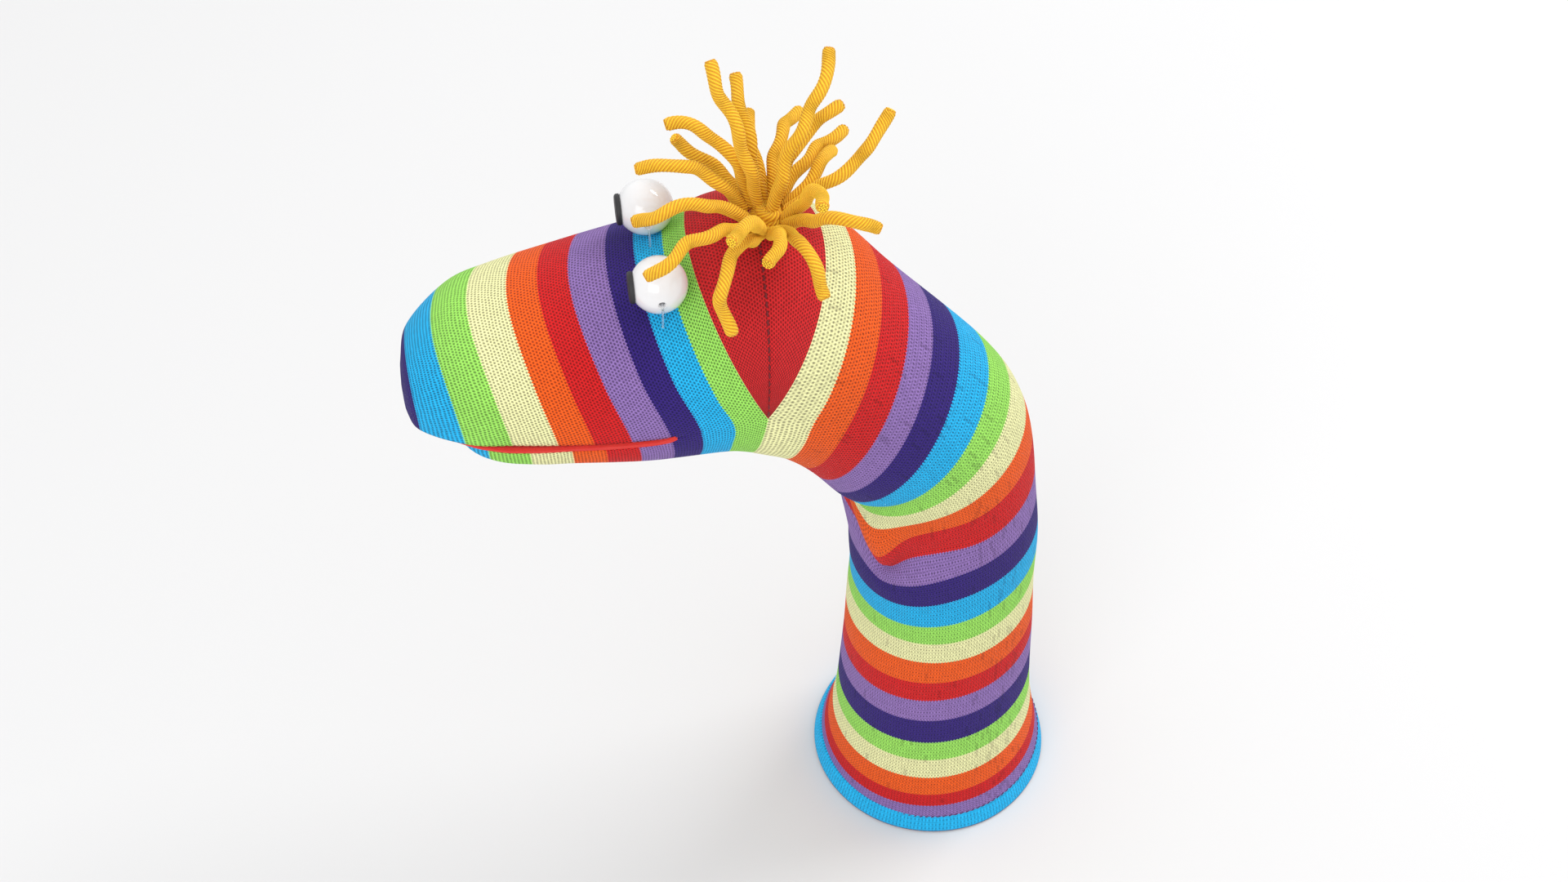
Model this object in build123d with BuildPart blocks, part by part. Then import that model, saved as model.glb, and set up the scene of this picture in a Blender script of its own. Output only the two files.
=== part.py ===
"""Sock puppet: a striped knitted sock with a mouth, two bead eyes and a tuft of cord hair.

Millimetres, +Z up.  The origin is the centre of the hem, on the plane of the hem's edge.
The sleeve stands along +Z, the head points along -Y, and the puppet's left is +X.
The knitted pieces are plain closed solids of the true outer shape, hollow where the arm goes.
"""
import os
from math import cos, pi, radians, sin, tan

from build123d import *

# ---- driving dimensions -------------------------------------------------------------------
WALL = 2.0            # knitted fabric
GAP = 0.4             # between pieces that move apart

HEM_R = 52.0          # foot of the flared hem
HEM_TOP_R = 49.5
HEM_HEIGHT = 8.0
HEM_BORE_R = 45.5     # the arm goes in here
TURN_Z = 120.0        # the head turns on the sleeve at this height
TURN_R = 39.3
WRIST_Z = 170.0       # the wrist starts to bend here
WRIST_R = 38.5

# rings of the bent sock: centre y, centre z, tilt in degrees, half width, half depth
RING_WRIST = (0.0, WRIST_Z, 0.0, WRIST_R, WRIST_R)
RING_FOLD = (-5.0, 196.0, 22.0, 36.5, 39.5)
RING_CREASE = (-11.0, 217.0, 39.0, 38.5, 41.0)
RING_NAPE = (-18.0, 228.0, 50.0, 39.0, 42.0)
RING_NECK = (-41.5, 257.0, 64.0, 40.5, 44.5)
RING_HEEL_BACK = (-62.0, 278.5, 70.0, 45.0, 47.5)
RING_HEEL = (-80.0, 290.0, 90.0, 48.5, 47.5)
RING_HEEL_FRONT = (-96.0, 288.0, 106.0, 49.0, 41.0)
RING_EYES = (-113.0, 286.0, 100.0, 49.0, 37.5)
RING_CHEEK = (-138.0, 284.0, 96.0, 46.0, 35.0)
RING_SNOUT = (-167.0, 282.5, 92.0, 40.5, 30.0)
RING_TOE = (-181.5, 282.0, 90.0, 35.5, 26.0)
RING_TOE_END = (-196.0, 281.0, 90.0, 26.0, 19.0)
RING_TIP = (-205.0, 280.0, 90.0, 10.0, 8.0)
TOE_SEAM_Y = -178.0

MOUTH_Y = -110.0      # the mouth's corner, which is the jaw's hinge
MOUTH_Z = 285.5
MOUTH_SLOPE = 3.0     # the mouth line falls this many degrees towards the nose
JAW_RELIEF = 45.0     # the jaw drops 40 degrees; this much is left for the loose fabric behind it
JAW_TIP_Y = -188.0
FELT = 1.2
CARD = 1.0
FELT_PROUD = 0.9      # the lining shows this far past the knit, as lips
LINING_BACK = 2.4     # the lining starts this far in front of the hinge

EYE = (19.5, -113.5, 333.2)
EYE_R = 10.2
EYE_BORE_R = 1.0
EYE_SINK_R = 1.5       # the bore opens to this at the bead's surface
THREAD_R = 0.4
PUPIL_R = 5.7
PUPIL_THICK = 1.8
PUPIL_FACE = 8.9      # the bead is flattened this far in front of its centre

HAIR_ROOT = (0.0, -72.0, 337.0)
HAIR_D = 4.4
TIE_R = 7.0
TIE_HEIGHT = 3.0

HEM_STITCHES = 60
HEEL_STITCHES = 14

# ---- hair: one route for each cord, from the tie to its cut end ------------------------------
HAIR = {
    "hair_01": [(-4, -75, 342), (-5, -77, 353), (-7, -79, 365), (-11, -82, 375), (-16, -86, 385),
                (-23, -89, 393)],
    "hair_02": [(-6, -73, 342), (-9, -75, 350), (-14, -76, 358), (-20, -77, 366), (-27, -78, 372),
                (-34.5, -79, 376.5)],
    "hair_03": [(-8, -73, 341), (-14, -73, 346), (-21, -74, 350), (-28, -74, 352), (-35, -75, 353),
                (-41.5, -73, 353)],
    "hair_04": [(-5, -78, 342), (-8, -79, 350), (-11, -82, 358), (-14, -86, 364), (-18, -92, 368),
                (-20, -98, 370), (-21, -104, 369)],
    "hair_05": [(-8.5, -77.5, 341), (-14, -81, 343), (-18, -86, 346), (-22, -91, 350), (-25, -97, 353),
                (-26, -102, 358)],
    "hair_06": [(-3, -80.5, 342.5), (-4, -85, 351), (-4, -91, 359), (-5, -99, 364), (-6, -108, 365),
                (-7.5, -116.5, 363.5)],
    "hair_07": [(2, -80.5, 343), (4, -86, 350), (6, -93, 356), (8, -102, 358), (9, -112, 356),
                (7, -120.5, 351.5)],
    "hair_08": [(6, -79, 342), (12, -85, 348), (18, -92, 354), (24, -100, 358), (30, -109, 356),
                (33, -118, 351)],
    "hair_09": [(8, -76, 342), (14, -78, 350), (20, -79, 358), (26, -82, 364), (33, -86, 368), (40, -91, 370)],
    "hair_10": [(8, -76, 341), (16, -80, 346), (23, -85, 352), (31, -90, 354), (39, -94, 351),
                (44, -95, 343), (46.5, -92.5, 334.5)],
    "hair_11": [(9, -73, 341), (15, -71.5, 347), (21, -71, 353), (28, -72, 357), (35, -75, 360), (42, -78, 360)],
    "hair_12": [(8, -70, 341), (14, -68, 346), (21, -66, 351), (29, -64, 352), (37, -61, 348),
                (41.5, -58.5, 340.5)],
    "hair_13": [(6, -67, 341.5), (10, -63, 347), (15, -59, 352), (20, -53, 356), (24, -45, 357),
                (26, -37, 354.5)],
    "hair_14": [(3, -67, 342), (5, -62, 349), (8, -59, 357), (13, -58, 363), (20, -57, 367),
                (27.5, -57, 369)],
    "hair_15": [(-3, -66, 341), (-5, -60.5, 345.5), (-8.5, -55, 349), (-14, -51, 350.5), (-20, -48, 349),
                (-25, -46, 345)],
    "hair_16": [(0, -66, 342), (-1, -59, 347), (-3, -51, 351), (-6, -43, 354), (-9, -36, 358),
                (-13, -31, 363), (-18, -27, 368)],
    "hair_17": [(-7, -68, 341), (-12, -63, 344), (-18, -58, 346), (-24, -52, 347), (-30, -46, 346),
                (-35, -40, 345)],
    "hair_18": [(-3.5, -69.5, 343), (-6, -67, 351), (-10, -63, 358), (-14, -58, 364), (-18, -51, 368),
                (-21, -43, 370)],
    "hair_19": [(0, -71, 342), (-1, -69, 352), (-4, -65, 363), (-8, -60, 372), (-13, -54, 379),
                (-20, -49, 385), (-28, -46, 390)],
    "hair_20": [(-9, -70, 341), (-16, -68, 345.5), (-24, -66, 348.5), (-32, -63, 349), (-40, -59, 348),
                (-47, -54, 346)],
}


def export(name, builder):
    builder.part.label = name
    export_step(builder.part, f"parts/{name}.step")


def ring_plane(ring, along=0.0):
    """The plane of one ring: X across the sock, Y from the throat side to the outer side."""
    y, z, tilt, _, _ = ring
    c, s = cos(radians(tilt)), sin(radians(tilt))
    return Plane(origin=(0, y - s * along, z + c * along), x_dir=(1, 0, 0), z_dir=(0, -s, c))


def sock_tube(rings, start_gap=0.0):
    """A hollow length of sock through the given rings."""
    shifts = [start_gap] + [0.0] * (len(rings) - 1)
    with BuildPart() as tube:
        for ring, shift in zip(rings, shifts):
            with BuildSketch(ring_plane(ring, shift)):
                Ellipse(ring[3], ring[4])
        loft()
        for ring, shift in zip(rings, shifts):
            with BuildSketch(ring_plane(ring, shift)):
                Ellipse(ring[3] - WALL, ring[4] - WALL)
        loft(mode=Mode.SUBTRACT)
    return tube


def turned_sleeve(outer):
    """A round length of sock: outer is (radius, z) from the bottom to the top."""
    inner = [(r - WALL, z) for r, z in outer]
    with BuildPart() as sleeve:
        with BuildSketch(Plane.XZ):
            with BuildLine():
                Spline(*outer)
                Line(outer[-1], inner[-1])
                Spline(*inner[::-1])
                Line(inner[0], outer[0])
            make_face()
        revolve(axis=Axis.Z)
    return sleeve


def mouth_plane(offset):
    """The mouth's plane, raised by offset: X is across and Y runs back from the nose."""
    tilt = radians(MOUTH_SLOPE)
    normal = (0, -sin(tilt), cos(tilt))
    return Plane(origin=(0, MOUTH_Y + normal[1] * offset, MOUTH_Z + normal[2] * offset),
                 x_dir=(1, 0, 0), z_dir=normal)


def oval(front_y, proud):
    """The mouth's outline on its plane, from the hinge to front_y, past the knit by proud."""
    length = MOUTH_Y - front_y
    widths = (RING_EYES[3], RING_CHEEK[3], RING_SNOUT[3])
    with BuildSketch() as outline:
        with BuildLine():
            corner = (widths[0] + proud - 0.9, -LINING_BACK)
            cheek = (widths[1] + proud, -0.32 * length)
            snout = (widths[2] * 0.97 + proud, -0.62 * length)
            tip = (0, -length - proud)
            side = Spline(corner, cheek, snout, tip, tangents=((0, -1), (-1, 0)))
            mirror(side, about=Plane.YZ)
            Line(corner, (-corner[0], corner[1]))
        make_face()
    return outline.sketch


os.makedirs("parts", exist_ok=True)

# ---- sleeve: hem, its stitches and the leg -------------------------------------------------
with BuildPart() as hem_band:
    with BuildSketch(Plane.XZ):
        Polygon((HEM_BORE_R, 0), (HEM_R, 0), (HEM_R - 0.3, 3), (HEM_TOP_R, HEM_HEIGHT), (HEM_BORE_R, HEM_HEIGHT),
                align=None)
    revolve(axis=Axis.Z)
export("hem_band", hem_band)

LEG_PROFILE = [(HEM_TOP_R, HEM_HEIGHT), (46.0, 22.0), (43.0, 44.0), (40.6, 85.0), (TURN_R, TURN_Z)]
leg_tube = turned_sleeve(LEG_PROFILE)
export("leg_tube", leg_tube)

STITCH_LENGTH = 2.4
STITCH_R = 0.3
STITCH_RING_R = HEM_TOP_R + 0.15
with BuildPart() as hem_stitches:
    with PolarLocations(STITCH_RING_R, HEM_STITCHES):
        with Locations((0, 0, HEM_HEIGHT + 1.6)):
            Cylinder(STITCH_R, STITCH_LENGTH, rotation=(90, 0, 0))
export("hem_stitches", hem_stitches)

# ---- wrist: the length that turns on the sleeve, and the loose fabric at the bend -------------
wrist_tube = turned_sleeve([(TURN_R, TURN_Z + GAP), (38.8, 145.0), (WRIST_R, WRIST_Z)])
export("wrist_tube", wrist_tube)

wrist_gusset = sock_tube([RING_WRIST, RING_FOLD, RING_CREASE, RING_NAPE])
export("wrist_gusset", wrist_gusset)

# ---- head: nape, heel and throat ----------------------------------------------------------
neck_shell = sock_tube([RING_NAPE, RING_NECK, RING_HEEL_BACK], start_gap=GAP)
export("neck_shell", neck_shell)

heel_turn = sock_tube([RING_HEEL_BACK, RING_HEEL, RING_HEEL_FRONT])
HEEL_SPLIT = Plane(origin=(0, RING_HEEL_BACK[0], RING_HEEL_BACK[1]), x_dir=(1, 0, 0),
                   z_dir=(0, RING_HEEL_FRONT[1] - RING_HEEL_BACK[1], RING_HEEL_BACK[0] - RING_HEEL_FRONT[0]))
with BuildPart() as heel_pocket:
    add(heel_turn.part)
    split(bisect_by=HEEL_SPLIT, keep=Keep.TOP)
export("heel_pocket", heel_pocket)
with BuildPart() as throat_panel:
    add(heel_turn.part)
    split(bisect_by=HEEL_SPLIT, keep=Keep.BOTTOM)
export("throat_panel", throat_panel)

# ---- head: the foot of the sock, cut along the mouth ------------------------------------------
foot = sock_tube([RING_HEEL_FRONT, RING_EYES, RING_CHEEK, RING_SNOUT, RING_TOE, RING_TOE_END, RING_TIP])
with BuildPart() as foot_tip:
    with BuildSketch(ring_plane(RING_TIP)):
        Ellipse(RING_TIP[3], RING_TIP[4])
    extrude(amount=WALL * 0.5)
BIG = 400.0
LIP = GAP / 2 + FELT
with BuildPart() as below_mouth:
    with BuildSketch(mouth_plane(LIP)):
        with Locations((0, GAP - BIG / 2)):
            Rectangle(BIG, BIG)
    extrude(amount=-BIG)
with BuildPart() as toe_side:
    with BuildSketch(Plane.XZ.offset(-TOE_SEAM_Y)):
        Rectangle(BIG * 2, BIG * 2)
    extrude(amount=BIG)
foot_above = foot.part - below_mouth.part
with BuildPart() as foot_shell:
    add(foot_above - toe_side.part)
export("foot_shell", foot_shell)
with BuildPart() as toe_cap:
    add((foot_above & toe_side.part) + (foot_tip.part - below_mouth.part))
export("toe_cap", toe_cap)

# ---- mouth linings and their stiffeners ----------------------------------------------------
def mouth_sheet(low, high, front_y, proud):
    with BuildPart() as sheet:
        with BuildSketch(mouth_plane(low)):
            add(oval(front_y, proud))
        extrude(amount=high - low)
    return sheet


felt_upper = mouth_sheet(GAP / 2, LIP, RING_TIP[0], FELT_PROUD)
export("mouth_felt_upper", felt_upper)
felt_lower = mouth_sheet(-LIP, -GAP / 2, JAW_TIP_Y, FELT_PROUD)
export("mouth_felt_lower", felt_lower)
CARD_INSET = -(WALL + 1.5)
card_upper = mouth_sheet(LIP, LIP + CARD, RING_TOE_END[0], CARD_INSET)
export("mouth_card_upper", card_upper)
card_lower = mouth_sheet(-LIP - CARD, -LIP, JAW_TIP_Y + 4, CARD_INSET)
export("mouth_card_lower", card_lower)

# ---- lower jaw and the loose fabric behind it ---------------------------------------------
JAW_RINGS = [RING_HEEL_FRONT, (MOUTH_Y, 286.0, 95.0, 48.5, 38.0), (-138.0, 284.0, 92.0, 46.0, 34.5),
             (-162.0, 282.5, 90.0, 40.5, 28.5), (-176.0, 282.0, 90.0, 31.0, 20.0), (-184.0, 282.0, 90.0, 20.0, 12.0)]
jaw_form = sock_tube(JAW_RINGS)
with BuildPart() as jaw_tip:
    with BuildSketch(ring_plane(JAW_RINGS[-1])):
        Ellipse(JAW_RINGS[-1][3], JAW_RINGS[-1][4])
    extrude(amount=WALL)
jaw_body = jaw_form.part + jaw_tip.part


def wedge(start, stop):
    """All the space under the mouth between two angles, in degrees below the mouth line, about the hinge."""
    reach = BIG / 2
    steps = [start + (stop - start) * k / 4 for k in range(5)]
    angles = [radians(a + MOUTH_SLOPE) for a in steps]
    rim = [(MOUTH_Y - reach * cos(a), MOUTH_Z - reach * sin(a)) for a in angles]
    with BuildPart() as space:
        with BuildSketch(Plane.YZ):
            Polygon((MOUTH_Y, MOUTH_Z), *rim, align=None)
        extrude(amount=BIG / 2, both=True)
    return space.part


with BuildPart() as under_lip:
    with BuildSketch(mouth_plane(-LIP)):
        Rectangle(BIG, BIG)
    extrude(amount=-BIG)
THROAT_FACE = 87.0     # degrees below the mouth line where the head's own shell starts
jaw_under = jaw_body & under_lip.part
with BuildPart() as jaw_shell:
    add(jaw_under & wedge(-5.0, JAW_RELIEF))
export("jaw_shell", jaw_shell)
with BuildPart() as chin_gusset:
    add(jaw_under & wedge(JAW_RELIEF + 0.3, THROAT_FACE - 0.5))
export("chin_gusset", chin_gusset)

# ---- eyes ------------------------------------------------------------------------------
MOUTH_OF_BORE = (EYE_R**2 - EYE_SINK_R**2) ** 0.5
for side, sign in (("left", 1), ("right", -1)):
    with BuildPart() as eyeball:
        with BuildSketch(Plane(origin=(sign * EYE[0], EYE[1], EYE[2]), x_dir=(1, 0, 0), z_dir=(0, -1, 0))):
            with BuildLine():
                Polyline((MOUTH_OF_BORE, EYE_SINK_R), (MOUTH_OF_BORE - 0.7, EYE_BORE_R),
                         (0.7 - MOUTH_OF_BORE, EYE_BORE_R), (-MOUTH_OF_BORE, EYE_SINK_R))
                ThreePointArc((-MOUTH_OF_BORE, EYE_SINK_R), (0, EYE_R), (MOUTH_OF_BORE, EYE_SINK_R))
            make_face()
        revolve(axis=Axis((sign * EYE[0], EYE[1], EYE[2]), (1, 0, 0)))
        with Locations((sign * EYE[0], EYE[1] - PUPIL_FACE - EYE_R, EYE[2])):
            Box(3 * EYE_R, 2 * EYE_R, 3 * EYE_R, mode=Mode.SUBTRACT)
    export(f"eyeball_{side}", eyeball)
    with BuildPart() as pupil:
        with BuildSketch(Plane.XZ.offset(-(EYE[1] - PUPIL_FACE))):
            with Locations((sign * EYE[0], EYE[2])):
                Circle(PUPIL_R)
        extrude(amount=PUPIL_THICK)
        fillet(pupil.faces().sort_by(Axis.Y)[0].edges(), PUPIL_THICK * 0.55)
    export(f"pupil_{side}", pupil)

# one loop of thread holds each bead: out of the knit, through the bore and back into the knit
THREAD_FAR_X = EYE[0] + EYE_R + 1.4
THREAD_NEAR_X = EYE[0] - EYE_R - 1.4
THREAD_OUT = (27.5, EYE[1], 320.2)
THREAD_IN = (6.5, EYE[1], 324.6)
with BuildPart() as eye_thread:
    for sign in (1, -1):
        with BuildLine() as thread_path:
            FilletPolyline((sign * THREAD_IN[0], THREAD_IN[1], THREAD_IN[2]), (sign * THREAD_NEAR_X, EYE[1], EYE[2]),
                           (sign * THREAD_FAR_X, EYE[1], EYE[2]), (sign * THREAD_OUT[0], THREAD_OUT[1], THREAD_OUT[2]),
                           radius=0.9)
        with BuildSketch(Plane(thread_path.line @ 0, z_dir=thread_path.line % 0)):
            Circle(THREAD_R)
        sweep()
export("eye_thread", eye_thread)

# ---- seams ------------------------------------------------------------------------------
HEEL_ARC_R = RING_HEEL[4] + 0.9
with BuildPart() as heel_stitches:
    for k in range(HEEL_STITCHES):
        for sign in (1, -1):
            angle = radians(8 + 64 * k / (HEEL_STITCHES - 1))
            x = (RING_HEEL[3] + 0.9) * cos(angle)
            z = HEEL_ARC_R * sin(angle)
            with Locations(Location((sign * x, RING_HEEL[0], RING_HEEL[1] + z), (0, sign * (90 - angle * 57.3), 0))):
                Cylinder(STITCH_R, STITCH_LENGTH, rotation=(0, 90, 0))
export("heel_stitches", heel_stitches)

# ---- hair -------------------------------------------------------------------------------
with BuildPart() as hair_tie:
    with BuildSketch(Plane.XY.offset(HAIR_ROOT[2] + 1.2)):
        with Locations((HAIR_ROOT[0], HAIR_ROOT[1])):
            Circle(TIE_R)
    extrude(amount=TIE_HEIGHT)
    fillet(hair_tie.edges(), 0.8)
export("hair_tie", hair_tie)


def turn_and_radii(points):
    """The arc at each corner of a route: 0.45 of the shorter run over the tangent of half the turn."""
    radii = []
    for before, here, after in zip(points, points[1:], points[2:]):
        a = Vector(*here) - Vector(*before)
        b = Vector(*after) - Vector(*here)
        radii.append(0.45 * min(a.length, b.length) / tan(radians(a.get_angle(b)) / 2))
    return radii


for name, points in HAIR.items():
    radii = turn_and_radii(points)
    with BuildPart() as strand:
        with BuildLine() as route:
            FilletPolyline(*points, radius=radii)
        with BuildSketch(Plane(route.line @ 0, z_dir=route.line % 0)):
            Circle(HAIR_D / 2)
        sweep()
    length = route.wire().length
    filled = strand.part.volume / (pi * HAIR_D**2 / 4 * length)
    print(f"{name}: length {length:.1f}, volume over section times length {filled:.3f}, "
          f"arcs {min(radii):.1f} or more")
    export(name, strand)
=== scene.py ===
"""Looks of the sock puppet: knitted skins, felt mouth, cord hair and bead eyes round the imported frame.

Lengths in this file are millimetres in the row frame, and become metres when a mesh is made.
The puppet's left is +X, its nose points along -Y, and the sleeve stands along +Z.
"""
import math

import bpy
import numpy as np
from mathutils import Matrix, Vector


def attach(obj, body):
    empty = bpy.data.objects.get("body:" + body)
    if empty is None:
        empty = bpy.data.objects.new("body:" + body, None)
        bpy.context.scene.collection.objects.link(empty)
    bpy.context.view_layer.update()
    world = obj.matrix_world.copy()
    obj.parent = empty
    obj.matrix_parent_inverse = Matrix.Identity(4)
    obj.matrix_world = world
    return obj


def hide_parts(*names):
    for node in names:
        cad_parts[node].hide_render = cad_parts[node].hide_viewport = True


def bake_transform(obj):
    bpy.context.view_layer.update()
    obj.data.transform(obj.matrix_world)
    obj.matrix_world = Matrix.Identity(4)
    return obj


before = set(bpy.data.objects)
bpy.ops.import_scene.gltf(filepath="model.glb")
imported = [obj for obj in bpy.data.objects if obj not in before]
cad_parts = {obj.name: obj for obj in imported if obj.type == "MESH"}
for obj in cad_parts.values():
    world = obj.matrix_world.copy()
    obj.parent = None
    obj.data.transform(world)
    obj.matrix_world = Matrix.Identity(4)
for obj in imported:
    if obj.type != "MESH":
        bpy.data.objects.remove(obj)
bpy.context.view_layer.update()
MM = 0.001

# ---- camera ---------------------------------------------------------------------------------
CAMERA_AT = Vector((608.74, -163.08, 940.63))
CAMERA_RIGHT = Vector((0.15643, 0.98769, 0.0))
CAMERA_UP = Vector((-0.75104, 0.11895, 0.64945))

camera_data = bpy.data.cameras.new("camera")
camera_data.sensor_width = 36.0
camera_data.lens = 56.25
camera = bpy.data.objects.new("camera", camera_data)
bpy.context.scene.collection.objects.link(camera)
turn = Matrix((CAMERA_RIGHT, CAMERA_UP, CAMERA_RIGHT.cross(CAMERA_UP))).transposed()
camera.matrix_world = Matrix.Translation(CAMERA_AT * MM) @ turn.to_4x4()
bpy.context.scene.camera = camera
bpy.context.scene.view_settings.view_transform = "Standard"

# ---- colours, linear ------------------------------------------------------------------------
CYAN = (0.018, 0.50, 0.92)
GREEN = (0.36, 0.82, 0.13)
CREAM = (0.93, 0.93, 0.47)
ORANGE = (0.98, 0.125, 0.012)
RED = (0.72, 0.014, 0.016)
PURPLE = (0.31, 0.185, 0.50)
NAVY = (0.038, 0.017, 0.20)
HEEL_RED = (0.66, 0.022, 0.026)
CORD_YELLOW = (1.0, 0.62, 0.022)
FELT_RED = (0.76, 0.02, 0.016)

LETTERS = {"C": CYAN, "G": GREEN, "Y": CREAM, "O": ORANGE, "R": RED, "P": PURPLE, "N": NAVY}
# one letter a stripe: from the hem up the leg, then from the heel to the nose
STRIPES = "CPROYGNPROYGCNPROYGCNPROY" + "GCNPROYGCN"
HEEL_AT = 25
WALES = 200            # columns of stitches round the sock
COURSES = 11           # rows of stitches in a stripe


# ---- node helpers ---------------------------------------------------------------------------
class Nodes:
    """Builds one material's nodes with short calls."""

    def __init__(self, name, base=(0.8, 0.8, 0.8), roughness=0.8):
        self.material = bpy.data.materials.new(name)
        self.material.use_nodes = True
        self.tree = self.material.node_tree
        self.shader = self.tree.nodes["Principled BSDF"]
        self.shader.inputs["Base Color"].default_value = (*base, 1)
        self.shader.inputs["Roughness"].default_value = roughness

    def add(self, kind, **values):
        node = self.tree.nodes.new(kind)
        for key, value in values.items():
            setattr(node, key, value)
        return node

    def link(self, source, target):
        self.tree.links.new(source, target)

    def math(self, operation, a, b=None, clamp=False):
        node = self.add("ShaderNodeMath", operation=operation, use_clamp=clamp)
        for socket, value in zip(node.inputs, (a, b)):
            if value is None:
                continue
            if isinstance(value, (int, float)):
                socket.default_value = value
            else:
                self.link(value, socket)
        return node.outputs[0]

    def noise(self, scale, detail=2.0, vector=None, roughness=0.5):
        node = self.add("ShaderNodeTexNoise")
        node.inputs["Scale"].default_value = scale
        node.inputs["Detail"].default_value = detail
        node.inputs["Roughness"].default_value = roughness
        self.link(vector or self.object_place(), node.inputs["Vector"])
        return node.outputs["Fac"]

    def object_place(self):
        return self.add("ShaderNodeTexCoord").outputs["Object"]

    def uv(self):
        split = self.add("ShaderNodeSeparateXYZ")
        self.link(self.add("ShaderNodeTexCoord").outputs["UV"], split.inputs[0])
        return split.outputs[0], split.outputs[1]

    def mix(self, factor, a, b, blend="MIX"):
        node = self.add("ShaderNodeMix", data_type="RGBA", blend_type=blend)
        for socket, value in ((node.inputs[0], factor), (node.inputs[6], a), (node.inputs[7], b)):
            if isinstance(value, (int, float)):
                socket.default_value = value
            elif isinstance(value, tuple):
                socket.default_value = (*value, 1)
            else:
                self.link(value, socket)
        return node.outputs[2]

    def bump(self, height, distance, strength=1.0, after=None):
        node = self.add("ShaderNodeBump")
        node.inputs["Strength"].default_value = strength
        node.inputs["Distance"].default_value = distance
        self.link(height, node.inputs["Height"])
        if after is not None:
            self.link(after, node.inputs["Normal"])
        return node.outputs[0]

    def sheen(self, weight, roughness, tint=(1, 1, 1)):
        self.shader.inputs["Sheen Weight"].default_value = weight
        self.shader.inputs["Sheen Roughness"].default_value = roughness
        self.shader.inputs["Sheen Tint"].default_value = (*tint, 1)


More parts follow.
